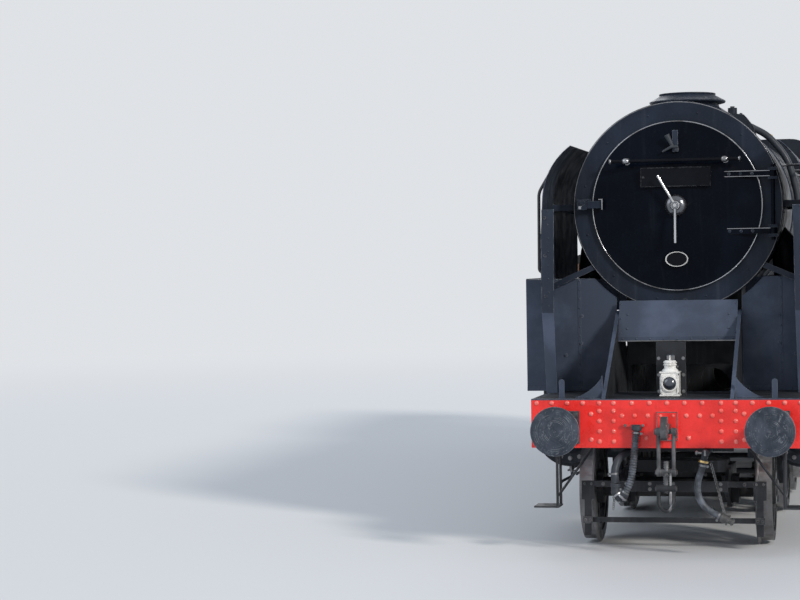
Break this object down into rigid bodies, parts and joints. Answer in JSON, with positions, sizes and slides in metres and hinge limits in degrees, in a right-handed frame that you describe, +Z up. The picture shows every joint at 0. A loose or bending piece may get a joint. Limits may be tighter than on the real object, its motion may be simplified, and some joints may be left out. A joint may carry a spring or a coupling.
{
  "type": "steam locomotive",
  "caption": "Heavy steam goods locomotive with smoke deflectors, outside cylinders, side rods and a leading pony truck; wheels turn and the smokebox door opens.",
  "frame": {"origin": "centre of the bounding box on the plane of the lowest wheel flanges, 28.6 mm below the rail's top", "axes": "+Y from the buffers back to the cab, +X to the engine's left side, +Z up"},
  "size_m": [2.743, 12.5, 4.0166],
  "materials": {
    "frame_black": "satin",
    "spring_steel": "matte",
    "beam_red": "gloss",
    "buffer_black": "satin",
    "hook_steel": "satin",
    "platform_black": "satin",
    "lamp_white": "gloss",
    "deflector_black": "satin",
    "smokebox_black": "satin",
    "door_steel": "satin",
    "boiler_black": "gloss",
    "valve_brass": "satin",
    "cylinder_black": "gloss",
    "motion_steel": "polished",
    "cab_black": "gloss",
    "cab_floor_wood": "matte",
    "cab_glass": "gloss",
    "cab_fittings": "satin",
    "seat_wood": "satin",
    "wheel_black": "satin",
    "handrail_black": "satin",
    "pipe_black": "satin",
    "hose_rubber": "matte",
    "coupler_iron": "matte"
  },
  "bodies": {
    "locomotive": {"main_frames": "frame_black", "smokebox_saddle": "frame_black", "brake_gear": "frame_black", "motion_brackets": "frame_black", "steps": "frame_black", "ashpan": "frame_black", "injectors": "frame_black", "springs": "spring_steel", "axleboxes": "spring_steel", "buffer_beam": "beam_red", "buffers": "buffer_black", "draw_hook": "hook_steel", "screw_coupling": "hook_steel", "front_platform": "platform_black", "front_casing": "platform_black", "running_boards": "platform_black", "head_lamp": "lamp_white", "deflector_left": "deflector_black", "deflector_right": "deflector_black", "smokebox": "smokebox_black", "chimney": "smokebox_black", "blast_pipe": "smokebox_black", "boiler_barrel": "boiler_black", "firebox": "boiler_black", "dome": "boiler_black", "top_feeds": "boiler_black", "steam_pipes": "boiler_black", "safety_valves": "valve_brass", "cylinder_left": "cylinder_black", "cylinder_right": "cylinder_black", "slide_bars": "motion_steel", "crossheads": "motion_steel", "connecting_rods": "motion_steel", "valve_gear": "motion_steel", "cab_front": "cab_black", "cab_side_left": "cab_black", "cab_side_right": "cab_black", "cab_roof": "cab_black", "cab_floor": "cab_floor_wood", "cab_glazing": "cab_glass", "cab_controls": "cab_fittings", "lubricators": "cab_fittings", "cab_seats": "seat_wood", "handrails": "handrail_black", "front_pipes": "pipe_black", "vacuum_hose": "hose_rubber", "steam_heat_hose": "hose_rubber", "steam_heat_coupler": "coupler_iron"},
    "pony_truck": {"pony_truck_frame": "frame_black", "guard_irons": "frame_black"},
    "pony_wheelset": {"pony_wheelset": "wheel_black"},
    "smokebox_door": {"smokebox_door": "smokebox_black", "door_fittings": "door_steel"},
    "side_rod_left": {"side_rod_left": "motion_steel"},
    "side_rod_right": {"side_rod_right": "motion_steel"},
    "coupled_wheelset_1": {"coupled_wheelset_1": "wheel_black"},
    "coupled_wheelset_2": {"coupled_wheelset_2": "wheel_black"},
    "coupled_wheelset_3": {"coupled_wheelset_3": "wheel_black"},
    "coupled_wheelset_4": {"coupled_wheelset_4": "wheel_black"},
    "coupled_wheelset_5": {"coupled_wheelset_5": "wheel_black"}
  },
  "joints": [
    {"name": "pony_truck_swing", "type": "hinge", "parent": "locomotive", "child": "pony_truck", "pos_m": [0, -2.85, 0.6286], "axis": [0, 0, 1], "range_deg": [-2.5, 2.5]},
    {"name": "pony_wheels_turn", "type": "hinge", "parent": "pony_truck", "child": "pony_wheelset", "pos_m": [0, -4.74, 0.4856], "axis": [1, 0, 0], "continuous": true},
    {"name": "main_wheels_turn", "type": "hinge", "parent": "locomotive", "child": "coupled_wheelset_3", "pos_m": [0, 1.153, 0.7906], "axis": [1, 0, 0], "continuous": true},
    {"name": "coupled_wheels_1_turn", "type": "hinge", "parent": "locomotive", "child": "coupled_wheelset_1", "pos_m": [0, -2.149, 0.7906], "axis": [1, 0, 0], "continuous": true},
    {"name": "coupled_wheels_2_turn", "type": "hinge", "parent": "locomotive", "child": "coupled_wheelset_2", "pos_m": [0, -0.498, 0.7906], "axis": [1, 0, 0], "continuous": true},
    {"name": "coupled_wheels_4_turn", "type": "hinge", "parent": "locomotive", "child": "coupled_wheelset_4", "pos_m": [0, 2.804, 0.7906], "axis": [1, 0, 0], "continuous": true},
    {"name": "coupled_wheels_5_turn", "type": "hinge", "parent": "locomotive", "child": "coupled_wheelset_5", "pos_m": [0, 4.455, 0.7906], "axis": [1, 0, 0], "continuous": true},
    {"name": "side_rod_left_turn", "type": "hinge", "parent": "coupled_wheelset_3", "child": "side_rod_left", "pos_m": [0.904, 1.153, 0.4351], "axis": [1, 0, 0], "continuous": true},
    {"name": "side_rod_right_turn", "type": "hinge", "parent": "coupled_wheelset_3", "child": "side_rod_right", "pos_m": [-0.904, 1.5085, 0.7906], "axis": [1, 0, 0], "continuous": true},
    {"name": "smokebox_door_swing", "type": "hinge", "parent": "locomotive", "child": "smokebox_door", "pos_m": [0.838, -4.662, 2.9646], "axis": [0, 0, 1], "range_deg": [0, 100]}
  ],
  "couplings": [
    {"joint": "coupled_wheels_1_turn", "follows": "main_wheels_turn", "ratio": 1},
    {"joint": "coupled_wheels_2_turn", "follows": "main_wheels_turn", "ratio": 1},
    {"joint": "coupled_wheels_4_turn", "follows": "main_wheels_turn", "ratio": 1},
    {"joint": "coupled_wheels_5_turn", "follows": "main_wheels_turn", "ratio": 1},
    {"joint": "side_rod_left_turn", "follows": "main_wheels_turn", "ratio": -1},
    {"joint": "side_rod_right_turn", "follows": "main_wheels_turn", "ratio": -1}
  ]
}
